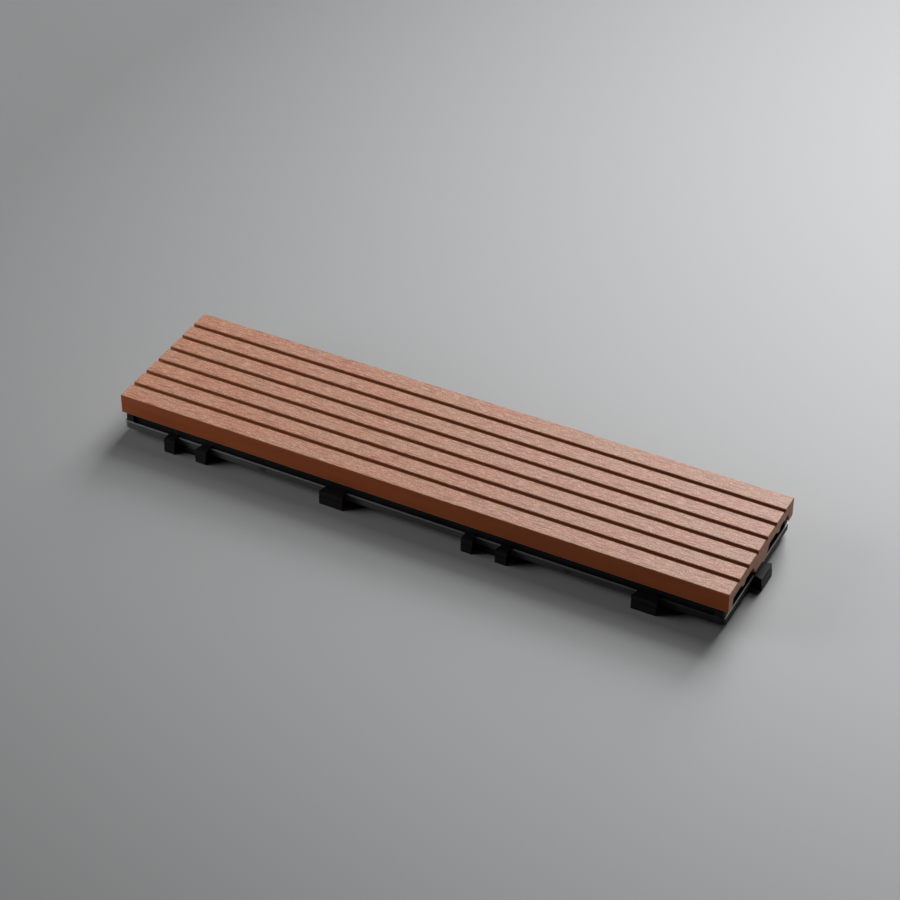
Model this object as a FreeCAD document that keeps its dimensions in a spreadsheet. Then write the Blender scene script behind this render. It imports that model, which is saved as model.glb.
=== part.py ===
import FreeCAD, Part
import os
import re
import Sketcher

# Interlocking deck tile: a grooved composite board screwed to a moulded base grid.
# Origin: the middle of the base on the ground. X runs along the board, Y across it, Z up.

doc = FreeCAD.newDocument("deck_tile")
sheet = doc.addObject("Spreadsheet::Sheet", "sizes")

# Driving sizes in millimetres, each set by itself
DRIVING = {
    # the tile as a whole
    "total_height": 20.0,
    "module_length": 300.0,
    # board, an extrusion along X
    "board_length": 296.4,
    "board_width": 72.0,
    "board_height": 9.9,
    "web_thickness": 5.4,
    "leg_root": 5.2,
    "leg_foot": 4.6,
    "spine_root": 18.0,
    "spine_foot": 12.4,
    "spine_drop": 0.5,
    "stiffener_offset": 19.5,
    "stiffener_root": 4.4,
    "stiffener_tip": 2.0,
    "stiffener_depth": 1.9,
    "top_round": 0.3,
    "foot_round": 0.7,
    "channel_round": 0.8,
    "groove_count": 6,
    "groove_pitch": 10.3,
    "groove_width": 2.0,
    "groove_floor": 1.5,
    "groove_depth": 1.4,
    "groove_lip": 0.3,
    "end_easing": 0.15,
    # rim of the base
    "board_overhang": 1.1,
    "side_margin": 0.4,
    "corner_radius": 2.0,
    "inner_radius": 1.0,
    "lip_gap": 2.8,
    "lip_height": 3.55,
    "lip_round": 0.3,
    "post_step": 0.45,
    "post_length": 4.8,
    "recess_depth": 1.8,
    "wall_thickness": 1.8,
    # grid inside the rim
    "rib_thickness": 1.6,
    "cross_rib_pitch": 25.0,
    "cross_rib_count": 11,
    "long_rib_pitch": 16.2,
    "long_rib_count": 3,
    "spine_clearance": 0.3,
    "foot_diameter": 9.0,
    "foot_count": 6,
    # lugs and forks
    "connector_pitch": 75.0,
    "lug_reach": 4.5,
    "lug_height": 6.8,
    "lug_root": 9.6,
    "lug_flare": 1.2,
    "lug_clearance": 0.15,
    "finger_width": 5.7,
    "lug_step": 0.4,
    "lug_step_height": 3.9,
    "lug_round": 0.3,
    "bar_reach": 0.7,
    # gate pips on the lip
    "pip_width": 2.4,
    "pip_height": 1.0,
    "pip_reach": 0.4,
    # screws and their holes
    "screw_count": 4,
    "screw_pitch": 75.0,
    "shank_diameter": 3.5,
    "shank_length": 11.0,
    "head_diameter": 7.4,
    "head_height": 2.2,
    "head_flat": 4.4,
    "drive_width": 0.9,
    "drive_span": 4.0,
    "drive_depth": 1.2,
    "boss_diameter": 11.0,
    "boss_floor": 3.6,
    "bore_clearance": 0.4,
    "head_clearance": 0.5,
    "pilot_clearance": 0.05,
    "pilot_extra": 0.8,
}

# Sizes that follow from the driving ones
DERIVED = {
    "seat_height": "total_height - board_height",
    "half_board": "board_length / 2",
    "half_width": "board_width / 2",
    "half_lip_x": "half_board - board_overhang",
    "half_lip_y": "half_width + side_margin",
    "lip_top": "lip_gap + lip_height",
    "inner_x": "half_lip_x - recess_depth - wall_thickness",
    "inner_y": "half_lip_y - recess_depth - wall_thickness",
    "spine_seat": "seat_height - spine_drop",
    "spine_slope": "(spine_root - spine_foot) / 2 / (board_height - web_thickness + spine_drop)",
    "spine_slot": "spine_foot / 2 + spine_slope * spine_drop + spine_clearance",
    "lip_spacing": "module_length - 2 * half_lip_x",
    "lug_slope": "lug_flare / lug_reach",
    "fork_mouth": "lug_root / 2 + lug_slope * (lip_spacing - lug_reach) + lug_clearance",
    "fork_throat": "lug_root / 2 + lug_slope * lip_spacing + lug_clearance",
    "fork_half": "fork_mouth + finger_width",
    "head_seat": "spine_seat - boss_floor",
    "first_screw": "-(screw_count - 1) * screw_pitch / 2",
}

for row, (alias, value) in enumerate(DRIVING.items(), 1):
    sheet.set(f"A{row}", alias)
    sheet.set(f"B{row}", str(value))
    sheet.setAlias(f"B{row}", alias)
for row, (alias, formula) in enumerate(DERIVED.items(), len(DRIVING) + 1):
    sheet.set(f"A{row}", alias)
    sheet.set(f"B{row}", "=" + formula)
    sheet.setAlias(f"B{row}", alias)
doc.recompute()


def value(formula):
    """The number that a formula in the sheet's aliases gives."""
    return float(sheet.evalExpression(str(formula)))


def bind(thing, target, formula):
    """Ties a property or a sketch constraint to a formula in the sheet's aliases."""
    thing.setExpression(target, re.sub(r"[a-z]\w*", lambda word: "sizes." + word.group(), str(formula)))


def new_body(label):
    body = doc.addObject("PartDesign::Body", label)
    body.Label = label
    return body


def origin_item(body, role):
    """The body's own origin plane or axis, such as XY_Plane."""
    return next(item for item in body.Origin.OriginFeatures if item.Role == role)


def new_sketch(body, name, plane, level="0"):
    """An empty sketch on one of the body's planes, moved out along its normal by level."""
    sketch = body.newObject("Sketcher::SketchObject", name)
    sketch.AttachmentSupport = [(origin_item(body, plane), "")]
    sketch.MapMode = "FlatFace"
    bind(sketch, "AttachmentOffset.Base.z", level)
    return sketch


def fix_point(sketch, index, corner, at):
    """Holds one point of the sketch's geometry at a place given by two formulas."""
    for kind, formula in zip(("DistanceX", "DistanceY"), at):
        rule = Sketcher.Constraint(kind, -1, 1, index, corner, value(formula))
        bind(sketch, f"Constraints[{sketch.addConstraint(rule)}]", formula)


def add_polygon(sketch, points):
    """A closed outline through points, each a pair of formulas."""
    corners = [FreeCAD.Vector(value(u), value(v), 0) for u, v in points]
    first = sketch.GeometryCount
    count = len(corners)
    for step in range(count):
        sketch.addGeometry(Part.LineSegment(corners[step], corners[(step + 1) % count]), False)
    for step in range(count):
        follower = first + (step + 1) % count
        sketch.addConstraint(Sketcher.Constraint("Coincident", first + step, 2, follower, 1))
        fix_point(sketch, first + step, 1, points[step])


def add_rectangle(sketch, low_u, high_u, low_v, high_v):
    add_polygon(sketch, [(low_u, low_v), (high_u, low_v), (high_u, high_v), (low_u, high_v)])


def add_centred(sketch, half_u, half_v):
    add_rectangle(sketch, f"-({half_u})", half_u, f"-({half_v})", half_v)


def add_circle(sketch, at, diameter):
    centre = FreeCAD.Vector(value(at[0]), value(at[1]), 0)
    circle = Part.Circle(centre, FreeCAD.Vector(0, 0, 1), value(diameter) / 2)
    index = sketch.addGeometry(circle, False)
    fix_point(sketch, index, 3, at)
    rule = Sketcher.Constraint("Diameter", index, value(diameter))
    bind(sketch, f"Constraints[{sketch.addConstraint(rule)}]", diameter)


def add_pad(sketch, length, both_ways=False):
    pad = sketch.getParent().newObject("PartDesign::Pad", sketch.Name + "_pad")
    pad.Profile = sketch
    pad.SideType = "Symmetric" if both_ways else "One side"
    bind(pad, "Length", length)
    doc.recompute()
    return pad


def add_pocket(sketch, length, both_ways=False):
    """Cuts along the sketch's normal, or as far to each side of it, and checks that it cut."""
    body = sketch.getParent()
    before = body.Tip.Shape.Volume
    pocket = body.newObject("PartDesign::Pocket", sketch.Name + "_pocket")
    pocket.Profile = sketch
    pocket.Reversed = not both_ways
    pocket.SideType = "Symmetric" if both_ways else "One side"
    bind(pocket, "Length", length)
    doc.recompute()
    if pocket.Shape.Volume >= before:
        raise ValueError(pocket.Name + " removes nothing")
    return pocket


def add_row(originals, axis, pitch, count):
    """Repeats features along one axis of their body, at a pitch."""
    body = originals[0].getParent()
    pattern = body.newObject("PartDesign::LinearPattern", originals[0].Name + "_row")
    pattern.Originals = originals
    pattern.Direction = (origin_item(body, axis), [""])
    bind(pattern, "Length", f"({pitch}) * ({count} - 1)")
    bind(pattern, "Occurrences", count)
    body.Tip = pattern
    doc.recompute()
    return pattern


def add_fillet(body, radius, is_wanted):
    """Rounds every edge of the body that the test picks."""
    base = body.Tip
    names = [f"Edge{n}" for n, edge in enumerate(base.Shape.Edges, 1) if is_wanted(edge)]
    if not names:
        raise ValueError(f"no edge for a radius of {radius} in {body.Name}")
    fillet = body.newObject("PartDesign::Fillet", "fillet")
    fillet.Base = (base, names)
    bind(fillet, "Radius", radius)
    doc.recompute()


def spans(edge, axis, low, high):
    """True for an edge that runs along the axis between two levels."""
    box = edge.BoundBox
    ends = {"X": (box.XMin, box.XMax), "Y": (box.YMin, box.YMax), "Z": (box.ZMin, box.ZMax)}[axis]
    return abs(ends[0] - low) < 0.01 and abs(ends[1] - high) < 0.01


# Deck board: pushed through a die, so its section is the same all along

board = new_body("deck_board")
bind(board, "Placement.Base.z", "seat_height")

foot_line = "-1 * spine_drop"
roof = "board_height - web_thickness"
stiffener_low = "board_height - web_thickness - stiffener_depth"
right_side = [
    ("half_width", "board_height"),
    ("half_width", "0"),
    ("half_width - leg_foot", "0"),
    ("half_width - leg_root", roof),
    ("stiffener_offset + stiffener_root / 2", roof),
    ("stiffener_offset + stiffener_tip / 2", stiffener_low),
    ("stiffener_offset - stiffener_tip / 2", stiffener_low),
    ("stiffener_offset - stiffener_root / 2", roof),
    ("spine_root / 2", roof),
    ("spine_foot / 2", foot_line),
]
left_side = [(f"-({u})", v) for u, v in reversed(right_side)]
section = new_sketch(board, "section", "YZ_Plane")
add_polygon(section, right_side + left_side)
add_pad(section, "board_length", both_ways=True)

half_width = value("half_width")
leg_inner = half_width - value("leg_foot")


def at_section(edge, y, z):
    """True for a long edge of the board that runs through a point of its section."""
    box = edge.BoundBox
    return box.XLength > 1 and abs(abs(box.Center.y) - y) < 0.01 and abs(box.Center.z - z) < 0.01


top_level = value("board_height")
roof_level = value(roof)
low_level = value(stiffener_low)
foot_level = value(foot_line)
foot_corners = [(half_width, 0.0), (leg_inner, 0.0)]
stiffener = value("stiffener_offset")
channel_corners = [
    (half_width - value("leg_root"), roof_level),
    (value("spine_root / 2"), roof_level),
    (value("spine_foot / 2"), foot_level),
    (stiffener - value("stiffener_tip / 2"), low_level),
    (stiffener + value("stiffener_tip / 2"), low_level),
]
add_fillet(board, "top_round", lambda edge: at_section(edge, half_width, top_level))
add_fillet(board, "foot_round", lambda edge: any(at_section(edge, *c) for c in foot_corners))
add_fillet(board, "channel_round", lambda edge: any(at_section(edge, *c) for c in channel_corners))

groove = new_sketch(board, "groove", "YZ_Plane")
groove_middle = "-(groove_count - 1) * groove_pitch / 2"
groove_side = [
    ("groove_width / 2 + groove_lip", "board_height"),
    ("groove_width / 2", "board_height - groove_lip"),
    ("groove_floor / 2", "board_height - groove_depth"),
]
add_polygon(groove, [(f"{groove_middle} + {u}", v) for u, v in groove_side]
            + [(f"{groove_middle} - ({u})", v) for u, v in reversed(groove_side)])
add_row([add_pocket(groove, "board_length", both_ways=True)], "Y_Axis", "groove_pitch", "groove_count")

easing = new_sketch(board, "easing", "XZ_Plane")
for sign in ("", "-"):
    add_polygon(easing, [
        (f"{sign}(half_board)", "board_height"),
        (f"{sign}(half_board)", "board_height - end_easing"),
        (f"{sign}(half_board - end_easing)", "board_height"),
    ])
add_pocket(easing, "board_width", both_ways=True)

pilot = new_sketch(board, "pilot", "XY_Plane", foot_line)
add_circle(pilot, ("first_screw", "0"), "shank_diameter + 2 * pilot_clearance")
pilot_depth = "shank_length + pilot_extra - boss_floor"
add_row([add_pocket(pilot, pilot_depth)], "X_Axis", "screw_pitch", "screw_count")


# Base grid: one moulding, rim first

base = new_body("base_grid")

lip_gap = value("lip_gap")
lip_top = value("lip_top")
lip_x = value("half_lip_x")
lip_y = value("half_lip_y")
seat = value("seat_height")


def at_corner(edge, x, y, low, high):
    """True for an upright edge at one of the four corners of a centred rectangle."""
    middle = edge.BoundBox.Center
    here = abs(abs(middle.x) - x) < 0.01 and abs(abs(middle.y) - y) < 0.01
    return here and spans(edge, "Z", low, high)


def on_outline(edge, level):
    """True for an edge of the lip's outer outline at one level."""
    box = edge.BoundBox
    reach = max(abs(box.XMin), abs(box.XMax)) - lip_x, max(abs(box.YMin), abs(box.YMax)) - lip_y
    return spans(edge, "Z", level, level) and max(reach) > -0.01


wall = new_sketch(base, "wall", "XY_Plane", "lip_gap")
add_centred(wall, "half_lip_x - post_step", "half_lip_y - post_step")
add_centred(wall, "inner_x", "inner_y")
add_pad(wall, "seat_height - lip_gap")
post_x = value("half_lip_x - post_step")
post_y = value("half_lip_y - post_step")
inner_x = value("inner_x")
inner_y = value("inner_y")
add_fillet(base, "corner_radius - post_step", lambda edge: at_corner(edge, post_x, post_y, lip_gap, seat))
add_fillet(base, "inner_radius", lambda edge: at_corner(edge, inner_x, inner_y, lip_gap, seat))

# The lip runs round the foot of the wall
lip = new_sketch(base, "lip", "XY_Plane", "lip_gap")
add_centred(lip, "half_lip_x", "half_lip_y")
add_centred(lip, "inner_x + wall_thickness / 2", "inner_y + wall_thickness / 2")
add_pad(lip, "lip_height")
add_fillet(base, "corner_radius", lambda edge: at_corner(edge, lip_x, lip_y, lip_gap, lip_top))
add_fillet(base, "lip_round", lambda edge: on_outline(edge, lip_top))

# The wall stands back between the corner posts, so the board seems to float over the lip
recess = new_sketch(base, "recess", "XY_Plane", "lip_top")
for sign in ("", "-"):
    near_y = f"{sign}(half_lip_y - recess_depth)"
    far_y = f"{sign}(half_lip_y)"
    near_x = f"{sign}(half_lip_x - recess_depth)"
    far_x = f"{sign}(half_lip_x)"
    add_rectangle(recess, "post_length - half_lip_x", "half_lip_x - post_length", near_y, far_y)
    add_rectangle(recess, near_x, far_x, "post_length - half_lip_y", "half_lip_y - post_length")
add_pocket(recess, "seat_height - lip_top")

# Lugs and forks. An outline is drawn as seen from outside a side: along it, and out from the middle
LUGS = [("front", "-0.5 * connector_pitch"), ("front", "1.5 * connector_pitch"),
        ("back", "-1.5 * connector_pitch"), ("back", "0.5 * connector_pitch"), ("right", "0")]
FORKS = [("front", "-1.5 * connector_pitch"), ("front", "0.5 * connector_pitch"),
         ("back", "-0.5 * connector_pitch"), ("back", "1.5 * connector_pitch"), ("left", "0")]
RIM = {"front": "half_lip_y", "back": "half_lip_y", "right": "half_lip_x", "left": "half_lip_x"}


def turned(side, along, out):
    """Places a point of a side's outline in the plan."""
    places = {"front": (along, f"-({out})"), "back": (along, out),
              "right": (out, along), "left": (f"-({out})", along)}
    return places[side]


def add_outline(sketch, side, middle, half_outline, sign):
    """Draws an outline given by its distance from a connector's middle and from the rim."""
    add_polygon(sketch, [turned(side, f"{middle} {sign} ({u})", f"{RIM[side]} + {v}") for u, v in half_outline])


neck = "-1 * (recess_depth + wall_thickness)"
flank_neck = "lug_root / 2 - lug_slope * (recess_depth + wall_thickness)"
lug_half = [(flank_neck, neck), ("lug_root / 2 + lug_flare", "lug_reach")]
lug_outline = lug_half + [(f"-1 * ({u})", v) for u, v in reversed(lug_half)]
finger_outline = [("fork_half", neck), ("fork_half", "lug_reach"), ("fork_mouth", "lug_reach"),
                  ("fork_throat + lug_slope * (recess_depth + wall_thickness)", neck)]
bar_outline = [("-1 * fork_throat", neck), ("fork_throat", neck),
               ("fork_throat", "bar_reach"), ("-1 * fork_throat", "bar_reach")]

lugs = new_sketch(base, "lugs", "XY_Plane")
for side, middle in LUGS:
    add_outline(lugs, side, middle, lug_outline, "+")
for side, middle in FORKS:
    add_outline(lugs, side, middle, finger_outline, "+")
    add_outline(lugs, side, middle, finger_outline, "-")
add_pad(lugs, "lug_height")

tip_x = value("half_lip_x + lug_reach")
tip_y = value("half_lip_y + lug_reach")
lug_top = value("lug_height")


def at_tip(edge):
    """True for the upright corner edges at the outer ends of lugs and fingers."""
    middle = edge.BoundBox.Center
    outside = abs(abs(middle.x) - tip_x) < 0.01 or abs(abs(middle.y) - tip_y) < 0.01
    return outside and spans(edge, "Z", 0, lug_top)


add_fillet(base, "lug_round", at_tip)

# A low bar joins the two fingers of a fork at the ground
bars = new_sketch(base, "bars", "XY_Plane")
for side, middle in FORKS:
    add_outline(bars, side, middle, bar_outline, "+")
add_pad(bars, "lip_gap")

# The upper half of each face stands back a little, which leaves a fine ledge across it
side_ledge = new_sketch(base, "side_ledge", "YZ_Plane")
end_ledge = new_sketch(base, "end_ledge", "XZ_Plane")
for sign in ("", "-"):
    for sketch, rim in ((side_ledge, "half_lip_y"), (end_ledge, "half_lip_x")):
        add_rectangle(sketch, f"{sign}({rim} + lug_reach - lug_step)", f"{sign}({rim} + lug_reach)",
                      "lug_step_height", "lug_height")
add_pocket(side_ledge, "2 * half_lip_x", both_ways=True)
add_pocket(end_ledge, "2 * half_lip_y", both_ways=True)

# Gate pips stand on the lip halfway between the outer connectors
pips = new_sketch(base, "pips", "XY_Plane", "lip_gap + (lip_height - pip_height) / 2")
pip_outline = [("-1 * pip_width / 2", "-1 * lip_round"), ("pip_width / 2", "-1 * lip_round"),
               ("pip_width / 2", "pip_reach"), ("-1 * pip_width / 2", "pip_reach")]
for side in ("front", "back"):
    for middle in ("-1 * connector_pitch", "connector_pitch"):
        add_outline(pips, side, middle, pip_outline, "+")
add_pad(pips, "pip_height")


def row_places(count, pitch):
    """Formulas for the places of a centred row."""
    return [f"({n} - ({count} - 1) / 2) * ({pitch})" for n in range(round(value(count)))]


# Ribs run into the middle of the wall
rib_end = "wall_thickness / 2"
cross_ribs = new_sketch(base, "cross_ribs", "XY_Plane", "lip_gap")
for place in row_places("cross_rib_count", "cross_rib_pitch"):
    add_rectangle(cross_ribs, f"{place} - rib_thickness / 2", f"{place} + rib_thickness / 2",
                  f"-1 * (inner_y + {rib_end})", f"inner_y + {rib_end}")
add_pad(cross_ribs, "seat_height - lip_gap")

long_ribs = new_sketch(base, "long_ribs", "XY_Plane", "lip_gap")
for place in row_places("long_rib_count", "long_rib_pitch"):
    add_rectangle(long_ribs, f"-1 * (inner_x + {rib_end})", f"inner_x + {rib_end}",
                  f"{place} - rib_thickness / 2", f"{place} + rib_thickness / 2")
add_pad(long_ribs, "seat_height - lip_gap")

# A slot along the middle takes the board's spine, which stands lower than its legs
slot = new_sketch(base, "slot", "YZ_Plane")
add_rectangle(slot, "-1 * spine_slot", "spine_slot", "spine_seat", "seat_height")
add_pocket(slot, "2 * half_lip_x", both_ways=True)

feet = new_sketch(base, "feet", "XY_Plane")
for place in row_places("foot_count", "2 * cross_rib_pitch"):
    for sign in ("-1", "1"):
        add_circle(feet, (place, f"{sign} * long_rib_pitch"), "foot_diameter")
add_pad(feet, "lip_gap")

bosses = new_sketch(base, "bosses", "XY_Plane", "lip_gap")
bores = new_sketch(base, "bores", "XY_Plane", "lip_gap")
head_recesses = new_sketch(base, "head_recesses", "XY_Plane", "lip_gap")
for place in row_places("screw_count", "screw_pitch"):
    add_circle(bosses, (place, "0"), "boss_diameter")
    add_circle(bores, (place, "0"), "shank_diameter + bore_clearance")
    add_circle(head_recesses, (place, "0"), "head_diameter + 2 * head_clearance")
add_pad(bosses, "spine_seat - lip_gap")
add_pocket(bores, "spine_seat - lip_gap")
add_pocket(head_recesses, "head_seat - lip_gap")


# Screws: blunt thread-forming kind, pan head down in its recess and shank up in the spine

screws = new_body("board_screws")
screws.AllowCompound = True
bind(screws, "Placement.Base.x", "first_screw")
bind(screws, "Placement.Base.z", "head_seat")
profile = new_sketch(screws, "profile", "XZ_Plane")
add_polygon(profile, [
    ("0", "-1 * head_height"),
    ("head_flat / 2", "-1 * head_height"),
    ("head_diameter / 2", "-1 * head_height / 2"),
    ("head_diameter / 2", "0"),
    ("shank_diameter / 2", "0"),
    ("shank_diameter / 2", "shank_length"),
    ("0", "shank_length"),
])
blank = screws.newObject("PartDesign::Revolution", "blank")
blank.Profile = profile
blank.ReferenceAxis = (profile, ["V_Axis"])
blank.Angle = 360
doc.recompute()
drive = new_sketch(screws, "drive", "XY_Plane", "-1 * head_height")
arm, slot_edge = "drive_span / 2", "drive_width / 2"
quarter = [(arm, slot_edge), (slot_edge, slot_edge), (slot_edge, arm)]
cross = []
for u_sign, v_sign, order in (("1", "1", 1), ("-1", "1", -1), ("-1", "-1", 1), ("1", "-1", -1)):
    cross += [(f"{u_sign} * {u}", f"{v_sign} * {v}") for u, v in quarter[::order]]
add_polygon(drive, cross)
drive_cut = add_pocket(drive, "drive_depth")
add_row([blank, drive_cut], "X_Axis", "screw_pitch", "screw_count")


# Check every object, then write each piece

doc.recompute()
for thing in doc.Objects:
    if "Invalid" in thing.State or "Error" in thing.State:
        raise ValueError(thing.Name + " failed: " + ", ".join(thing.State))

os.makedirs("parts", exist_ok=True)
for body in (board, base, screws):
    shape = body.Shape
    if shape.isNull() or not shape.isValid():
        raise ValueError(body.Label + " has no valid shape")
    box = shape.BoundBox
    print(f"{body.Label}: {len(shape.Solids)} solid(s), {shape.Volume / 1000:.2f} cm3, "
          f"x {box.XMin:.2f} {box.XMax:.2f}, y {box.YMin:.2f} {box.YMax:.2f}, z {box.ZMin:.2f} {box.ZMax:.2f}")
    shape.exportStep(f"parts/{body.Label}.step")
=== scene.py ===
"""Looks of the interlocking deck tile: its three materials, the studio floor, the lamps and the camera.

Metres, in the CAD frame: X along the board, Y across it, Z up, the ground at zero.
"""

import math

import bpy
from mathutils import Matrix, Vector

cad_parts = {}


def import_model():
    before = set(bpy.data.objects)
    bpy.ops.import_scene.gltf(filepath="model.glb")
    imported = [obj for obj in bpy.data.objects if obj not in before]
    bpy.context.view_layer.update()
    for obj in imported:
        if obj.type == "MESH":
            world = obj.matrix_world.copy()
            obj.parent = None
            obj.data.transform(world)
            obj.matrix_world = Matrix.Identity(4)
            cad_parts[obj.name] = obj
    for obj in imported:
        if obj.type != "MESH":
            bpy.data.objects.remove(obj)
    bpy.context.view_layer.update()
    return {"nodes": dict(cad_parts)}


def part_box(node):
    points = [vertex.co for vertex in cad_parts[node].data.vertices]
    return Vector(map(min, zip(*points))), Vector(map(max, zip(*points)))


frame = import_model()
board_low, board_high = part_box("deck_board")
MM = 0.001


# Nodes and colours


class Tree:
    """A material's nodes, added one by one. An input is a socket to link or a value to set."""

    # the colour sockets of the Mix node, which has others for numbers and vectors
    FIRST_COLOUR, SECOND_COLOUR, MIXED_COLOUR = 6, 7, 2
    BEVEL_SAMPLES = 4

    def __init__(self, name):
        self.material = bpy.data.materials.new(name)
        self.material.use_nodes = True
        self.nodes = self.material.node_tree.nodes
        self.links = self.material.node_tree.links
        self.shader = self.nodes["Principled BSDF"]
        self.place = self.add("ShaderNodeTexCoord").outputs["Object"]

    def connect(self, socket, source):
        if isinstance(source, bpy.types.NodeSocket):
            self.links.new(source, socket)
        else:
            socket.default_value = source

    def add(self, kind, inputs=None, **settings):
        node = self.nodes.new(kind)
        for name, setting in settings.items():
            setattr(node, name, setting)
        for key, source in (inputs or {}).items():
            self.connect(node.inputs[key], source)
        return node

    def math(self, operation, *sources, clamp=False):
        inputs = dict(enumerate(sources))
        return self.add("ShaderNodeMath", inputs, operation=operation, use_clamp=clamp).outputs[0]

    def plus(self, first, *others):
        for source in others:
            first = self.math("ADD", first, source)
        return first

    def times(self, first, *others):
        for source in others:
            first = self.math("MULTIPLY", first, source)
        return first

    def line(self, source, slope, start, clamp=False):
        """The source times a slope, plus its value at 0."""
        return self.math("MULTIPLY_ADD", source, slope, start, clamp=clamp)

    def ramp(self, source, low, high):
        """0 on the side of low, 1 on the side of high, and smooth between. Either may be the larger."""
        inputs = {"Value": source, "From Min": low, "From Max": high}
        return self.add("ShaderNodeMapRange", inputs, interpolation_type="SMOOTHSTEP").outputs[0]

    def noise(self, scale, detail=3.0, rough=0.5, shift=0.0):
        """Noise from 0 to 1 whose features are 1 / scale metres long along each axis."""
        stretched = self.add("ShaderNodeMapping", {"Vector": self.place, "Scale": scale}).outputs[0]
        inputs = {"Vector": stretched, "W": shift, "Scale": 1.0, "Detail": detail, "Roughness": rough}
        return self.add("ShaderNodeTexNoise", inputs, noise_dimensions="4D").outputs["Fac"]

    def mix(self, amount, first, second):
        """A colour between two."""
        inputs = {"Factor": amount, self.FIRST_COLOUR: first, self.SECOND_COLOUR: second}
        return self.add("ShaderNodeMix", inputs, data_type="RGBA").outputs[self.MIXED_COLOUR]

    def lay(self, under, mask, share, over):
        """A colour laid over another by a share of a mask."""
        return self.mix(self.times(mask, share), under, over)

    def axes(self, vector):
        return self.add("ShaderNodeSeparateXYZ", {0: vector}).outputs

    def soft_edges(self, radius):
        """Normals that round the edges off."""
        return self.add("ShaderNodeBevel", {"Radius": radius}, samples=self.BEVEL_SAMPLES).outputs[0]

    def bump(self, height, strength, distance, normal=None):
        inputs = {"Height": height, "Strength": strength, "Distance": distance}
        if normal:
            inputs["Normal"] = normal
        return self.add("ShaderNodeBump", inputs).outputs[0]

    def finish(self, **inputs):
        """The material, with the shader's inputs given by their names."""
        for name, source in inputs.items():
            self.connect(self.shader.inputs[name.replace("_", " ")], source)
        return self.material


def rgb(red, green, blue):
    """A linear colour from screen values of 0 to 255."""
    def linear(value):
        value /= 255
        return value / 12.92 if value <= 0.04045 else ((value + 0.055) / 1.055) ** 2.4
    return (linear(red), linear(green), linear(blue), 1.0)


# Composite board

# each pair gives where one finish ends and where the next one is full
SAWN_TURN = (0.65, 0.85)              # how far a face looks along the board
UP_TURN = (0.2, 0.6)                  # how far a face looks up
BRUSH_DEPTH = (0.42 * MM, 0.22 * MM)  # under the board's top
BED_DEPTH = (0.5 * MM, 1.5 * MM)      # under the board's top
FOOT_HEIGHT = (1.3 * MM, 0.6 * MM)    # over the board's foot
GROOVE_REACH = (31 * MM, 30 * MM)     # from the board's middle line
BACK_REACH = (0.0, 35 * MM)           # from the board's middle line to the back


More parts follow.
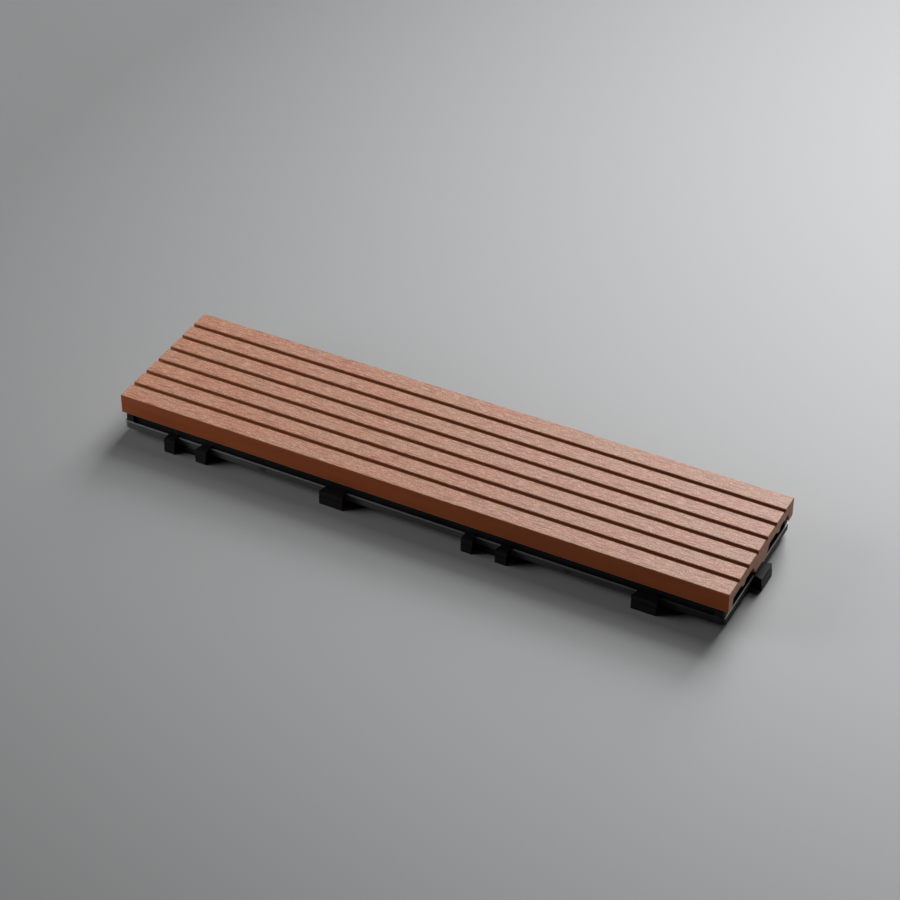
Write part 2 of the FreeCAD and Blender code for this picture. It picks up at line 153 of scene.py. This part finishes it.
def composite_material():
    """Wood flour and plastic: brushed top, smooth extruded sides and grooves, sawn ends."""
    tree = Tree("composite")
    x, y, z = tree.axes(tree.place)
    facing = tree.axes(tree.add("ShaderNodeNewGeometry").outputs["Normal"])
    top_z, foot_z = board_high.z, board_low.z

    sawn = tree.ramp(tree.math("ABSOLUTE", facing["X"]), *SAWN_TURN)
    level = tree.ramp(z, top_z - BRUSH_DEPTH[0], top_z - BRUSH_DEPTH[1])
    brushed = tree.times(level, tree.ramp(facing["Z"], *UP_TURN))
    groove = tree.ramp(tree.math("ABSOLUTE", y), *GROOVE_REACH)
    bottom = tree.ramp(z, top_z - BED_DEPTH[0], top_z - BED_DEPTH[1])
    # painted light masks: a painted reflection of the floor along the foot, painted shade on the back
    # side, and painted shade in the grooves that grows towards the right end
    foot = tree.ramp(z, foot_z + FOOT_HEIGHT[0], foot_z + FOOT_HEIGHT[1])
    back = tree.ramp(y, *BACK_REACH)
    painted_groove_shade = tree.line(x, 3.3, 0.5, clamp=True)

    # brush lines and torn fibres lie along the board
    hairs = tree.noise((260, 2300, 2300), rough=0.7)
    strands = tree.noise((95, 950, 950), rough=0.6, shift=3.0)
    grains = tree.noise((1250, 1700, 1700), detail=2.0, rough=0.6, shift=5.0)
    patches = tree.noise((38, 95, 95), shift=7.0)
    specks = tree.noise((700, 1500, 1500), detail=1.0, shift=11.0)
    top = tree.mix(tree.ramp(patches, 0.36, 0.64), rgb(173, 111, 84), rgb(170, 120, 92))
    top = tree.lay(top, tree.ramp(hairs, 0.47, 0.63), 0.7, rgb(214, 170, 143))
    top = tree.lay(top, tree.ramp(strands, 0.5, 0.36), 0.55, rgb(118, 68, 46))
    top = tree.lay(top, tree.ramp(grains, 0.5, 0.36), 0.6, rgb(108, 62, 42))
    top = tree.lay(top, tree.ramp(specks, 0.68, 0.78), 0.5, rgb(224, 190, 168))

    # extruded skin, with painted shade on the back side, which the back lamps light strongly, a deeper
    # brown in the grooves, painted shade that darkens the grooves towards the right end, and a pale
    # painted reflection of the floor along the foot
    clouds = tree.noise((35, 240, 240), shift=19.0)
    die_lines = tree.noise((4, 1800, 1800), detail=2.0, shift=23.0)
    lint = tree.ramp(tree.noise((330, 500, 500), detail=2.0, rough=0.6, shift=29.0), 0.68, 0.74)
    skin = tree.mix(tree.ramp(clouds, 0.3, 0.7), rgb(142, 64, 12), rgb(152, 72, 16))
    # painted shade on the back side
    skin = tree.lay(skin, back, 0.8, rgb(112, 60, 32))
    skin = tree.lay(skin, lint, 0.35, rgb(196, 140, 108))
    # painted shade: the grooves darken towards the right end
    groove_wall = tree.mix(painted_groove_shade, rgb(119, 63, 23), rgb(108, 54, 28))
    groove_bed = tree.mix(painted_groove_shade, rgb(164, 94, 36), rgb(154, 94, 50))
    deep = tree.mix(bottom, groove_wall, groove_bed)
    deep = tree.lay(deep, lint, 0.4, rgb(186, 134, 104))
    skin = tree.mix(groove, skin, deep)
    # painted reflection of the floor: a pale band along the foot
    skin = tree.lay(skin, foot, 0.85, rgb(196, 158, 128))

    # sawn end
    saw_marks = tree.noise((300, 160, 1100), detail=2.0, rough=0.6, shift=31.0)
    crumb = tree.noise((1500, 2100, 2100), rough=0.6, shift=37.0)
    end = tree.mix(tree.ramp(crumb, 0.34, 0.64), rgb(166, 114, 92), rgb(210, 164, 141))
    end = tree.lay(end, tree.ramp(saw_marks, 0.5, 0.7), 0.35, rgb(226, 190, 168))

    colour = tree.mix(brushed, skin, top)
    colour = tree.mix(sawn, colour, end)

    fibres = tree.plus(tree.times(hairs, 0.8), tree.times(strands, 0.6), tree.times(grains, 0.5))
    torn = tree.plus(saw_marks, crumb)
    relief = tree.plus(
        tree.times(fibres, brushed), tree.times(torn, sawn), tree.times(die_lines, 0.06))
    normal = tree.bump(relief, 0.8, 0.16 * MM, tree.soft_edges(0.1 * MM))
    rough = tree.plus(0.55, tree.times(brushed, -0.03), tree.times(sawn, 0.25))
    return tree.finish(
        Base_Color=colour, Roughness=rough, Normal=normal, Specular_IOR_Level=0.44)


# Moulded base

# the faces and the upper edge of the lip that runs round the base
LIP_X = 0.1471
LIP_Y = 0.0364
LIP_Z = 0.00635

# how far from the lip's faces or edge a mask begins, and how far from them it is full
LIP_OUT = (0.6 * MM, 0.2 * MM)
LIP_IN = (0.7 * MM, 0.4 * MM)
LIP_OVER = (0.25 * MM, 0.1 * MM)
RIM_UNDER = (0.5 * MM, 0.25 * MM)
END_IN = (0.6 * MM, 0.3 * MM)

# where along the board painted shade begins to dim the painted light on the front, and where it is full
FADE_X = (0.1, 0.12)


def plastic_material():
    """Black moulded plastic with a fine grain and scuffs, and a lip with dust, painted fill light on
    its front face and painted highlights on its rounded edge.
    """
    tree = Tree("base_plastic")
    x, y, z = tree.axes(tree.place)
    cloud = tree.noise((60, 60, 60), shift=2.0)
    grain = tree.noise((2600, 2600, 2600), detail=2.0, shift=5.0)
    scuffs = tree.noise((320, 320, 900), detail=4.0, rough=0.7, shift=9.0)
    dust = tree.noise((90, 90, 400), detail=4.0, rough=0.6, shift=13.0)

    # the lip's face up to its rounded edge, without the lugs and forks that stand out of it
    across = tree.math("ABSOLUTE", y)
    along = tree.math("ABSOLUTE", x)
    within = tree.times(
        tree.ramp(across, LIP_Y + LIP_OUT[0], LIP_Y + LIP_OUT[1]),
        tree.ramp(along, LIP_X + LIP_OUT[0], LIP_X + LIP_OUT[1]))
    outside = tree.math(
        "MAXIMUM",
        tree.ramp(across, LIP_Y - LIP_IN[0], LIP_Y - LIP_IN[1]),
        tree.ramp(along, LIP_X - LIP_IN[0], LIP_X - LIP_IN[1]))
    lip = tree.times(within, outside, tree.ramp(z, LIP_Z + LIP_OVER[0], LIP_Z + LIP_OVER[1]))
    rim = tree.times(lip, tree.ramp(z, LIP_Z - RIM_UNDER[0], LIP_Z - RIM_UNDER[1]))

    # painted fill light on the front side, strongest on the left and dimmed to a quarter past the last
    # lug by painted shade, and a painted glint on the right end's rim
    left = tree.line(x, -1.6, 0.75, clamp=True)
    painted_shade_factor = tree.line(tree.ramp(x, *FADE_X), -0.75, 1.0)
    front = tree.ramp(y, LIP_IN[0] - LIP_Y, LIP_IN[1] - LIP_Y)
    painted_front_light = tree.times(left, painted_shade_factor, front)
    end_face = tree.ramp(x, LIP_X - END_IN[0], LIP_X - END_IN[1])
    dust_and_fill_light = tree.times(lip, tree.plus(0.45, tree.times(dust, 0.5)))

    colour = tree.mix(tree.ramp(cloud, 0.3, 0.7), rgb(15, 15, 17), rgb(23, 23, 25))
    colour = tree.lay(colour, tree.ramp(scuffs, 0.56, 0.72), 0.35, rgb(82, 80, 77))
    # painted fill light on the front lip face, mottled by dust
    colour = tree.lay(colour, dust_and_fill_light, painted_front_light, rgb(92, 92, 92))
    # painted highlight along the front lip's rounded edge
    colour = tree.lay(colour, rim, painted_front_light, rgb(134, 134, 134))
    # painted glint, near white, along the right end's lip edge
    colour = tree.lay(colour, rim, end_face, rgb(222, 224, 226))
    normal = tree.bump(grain, 0.2, 0.03 * MM, tree.soft_edges(0.2 * MM))
    rough = tree.plus(0.44, tree.times(cloud, 0.14), tree.times(rim, -0.3))
    return tree.finish(
        Base_Color=colour, Roughness=rough, Normal=normal, Specular_IOR_Level=0.2)


# Screws


def zinc_material():
    """Dull zinc plating with fine turned lines."""
    tree = Tree("screw_steel")
    blotch = tree.noise((500, 500, 500), shift=4.0)
    lines = tree.noise((400, 400, 4000), detail=2.0, shift=8.0)
    colour = tree.mix(tree.ramp(blotch, 0.3, 0.7), rgb(176, 174, 166), rgb(204, 202, 196))
    normal = tree.bump(lines, 0.3, 0.02 * MM)
    rough = tree.plus(0.28, tree.times(blotch, 0.2))
    return tree.finish(Base_Color=colour, Roughness=rough, Normal=normal, Metallic=1.0)


def dress(node, material):
    """Gives a CAD node its finished material."""
    slots = frame["nodes"][node].data.materials
    slots.clear()
    slots.append(material)


dress("deck_board", composite_material())
dress("base_grid", plastic_material())
dress("board_screws", zinc_material())


# Studio

FLOOR_HALF = 6.0
FLOOR_GREY = rgb(165, 166, 167)
FLOOR_ROUGHNESS = 0.8

# the logarithm of a painted pool of light on the paper: its rise per metre along X and Y, its fall with
# the square of the distance from the middle, and its lowest and highest value
FLOOR_SLOPE = (1.68, 0.98)
FLOOR_FALL = 2.38
FLOOR_LIMITS = (-0.7, 0.35)

# place, side of the square and power of each soft box, all turned to the middle of the base
LAMPS = {
    "back_soft_box": ((0.0, 1.5, 1.1), 0.9, 25.0),
    "low_soft_box": ((-0.05, 1.9, 0.7), 0.9, 26.8),
    "high_soft_box": ((0.1, 1.2, 1.6), 1.0, 10.2),
    "end_soft_box": ((-0.8, -0.2, 0.3), 0.5, 2.7),
    "fill_panel": ((-0.62, -0.42, 0.14), 0.27, 1.25),
}
WORLD_GREY = 0.8
WORLD_STRENGTH = 0.004


def floor():
    """A wide sheet of grey paper with a painted pool of light that makes it paler towards the back
    right.
    """
    half = FLOOR_HALF
    mesh = bpy.data.meshes.new("studio_floor")
    corners = [(-half, -half, 0), (half, -half, 0), (half, half, 0), (-half, half, 0)]
    mesh.from_pydata(corners, [], [(0, 1, 2, 3)])
    sheet = bpy.data.objects.new("studio_floor", mesh)
    bpy.context.scene.collection.objects.link(sheet)

    tree = Tree("studio_paper")
    x, y, _ = tree.axes(tree.place)
    spread = tree.plus(tree.times(x, x), tree.times(y, y))
    # painted light: paler towards the back right, falling off with the distance from the middle
    painted_light_level = tree.plus(
        tree.times(x, FLOOR_SLOPE[0]), tree.times(y, FLOOR_SLOPE[1]), tree.times(spread, -FLOOR_FALL))
    painted_light_level = tree.math("MINIMUM", tree.math("MAXIMUM", painted_light_level, FLOOR_LIMITS[0]), FLOOR_LIMITS[1])
    inputs = {0: FLOOR_GREY[:3], "Scale": tree.math("EXPONENT", painted_light_level)}
    paper = tree.add("ShaderNodeVectorMath", inputs, operation="SCALE").outputs[0]
    mesh.materials.append(tree.finish(Base_Color=paper, Roughness=FLOOR_ROUGHNESS))


def soft_box(name, place, size, power):
    """A square area lamp that faces the middle of the base."""
    lamp = bpy.data.lights.new(name, "AREA")
    lamp.shape = "SQUARE"
    lamp.size = size
    lamp.energy = power
    box = bpy.data.objects.new(name, lamp)
    box.location = place
    box.rotation_euler = (-Vector(place)).to_track_quat("-Z", "Y").to_euler()
    bpy.context.scene.collection.objects.link(box)


def world():
    """A faint even light from all sides."""
    studio = bpy.data.worlds.new("studio")
    studio.use_nodes = True
    background = studio.node_tree.nodes["Background"]
    background.inputs["Color"].default_value = (WORLD_GREY, WORLD_GREY, WORLD_GREY, 1.0)
    background.inputs["Strength"].default_value = WORLD_STRENGTH
    bpy.context.scene.world = studio


def camera():
    """The photograph's viewpoint, found from the board's corners."""
    eye = Vector((0.4211, -0.8184, 0.7357))
    heading, dip, roll = math.radians(27.21), math.radians(37.98), math.radians(0.25)
    data = bpy.data.cameras.new("photo_camera")
    data.sensor_width = 36.0
    data.lens = 105.95
    data.clip_start = 0.01
    data.clip_end = 50.0
    viewer = bpy.data.objects.new("photo_camera", data)
    tilt = Matrix.Rotation(math.pi / 2 - dip, 4, "X") @ Matrix.Rotation(roll, 4, "Z")
    turn = Matrix.Rotation(heading, 4, "Z") @ tilt
    viewer.matrix_world = Matrix.Translation(eye) @ turn
    bpy.context.scene.collection.objects.link(viewer)
    bpy.context.scene.camera = viewer


floor()
for lamp_name, (lamp_place, lamp_size, lamp_power) in LAMPS.items():
    soft_box(lamp_name, lamp_place, lamp_size, lamp_power)
world()
camera()
bpy.context.scene.view_settings.view_transform = "Standard"
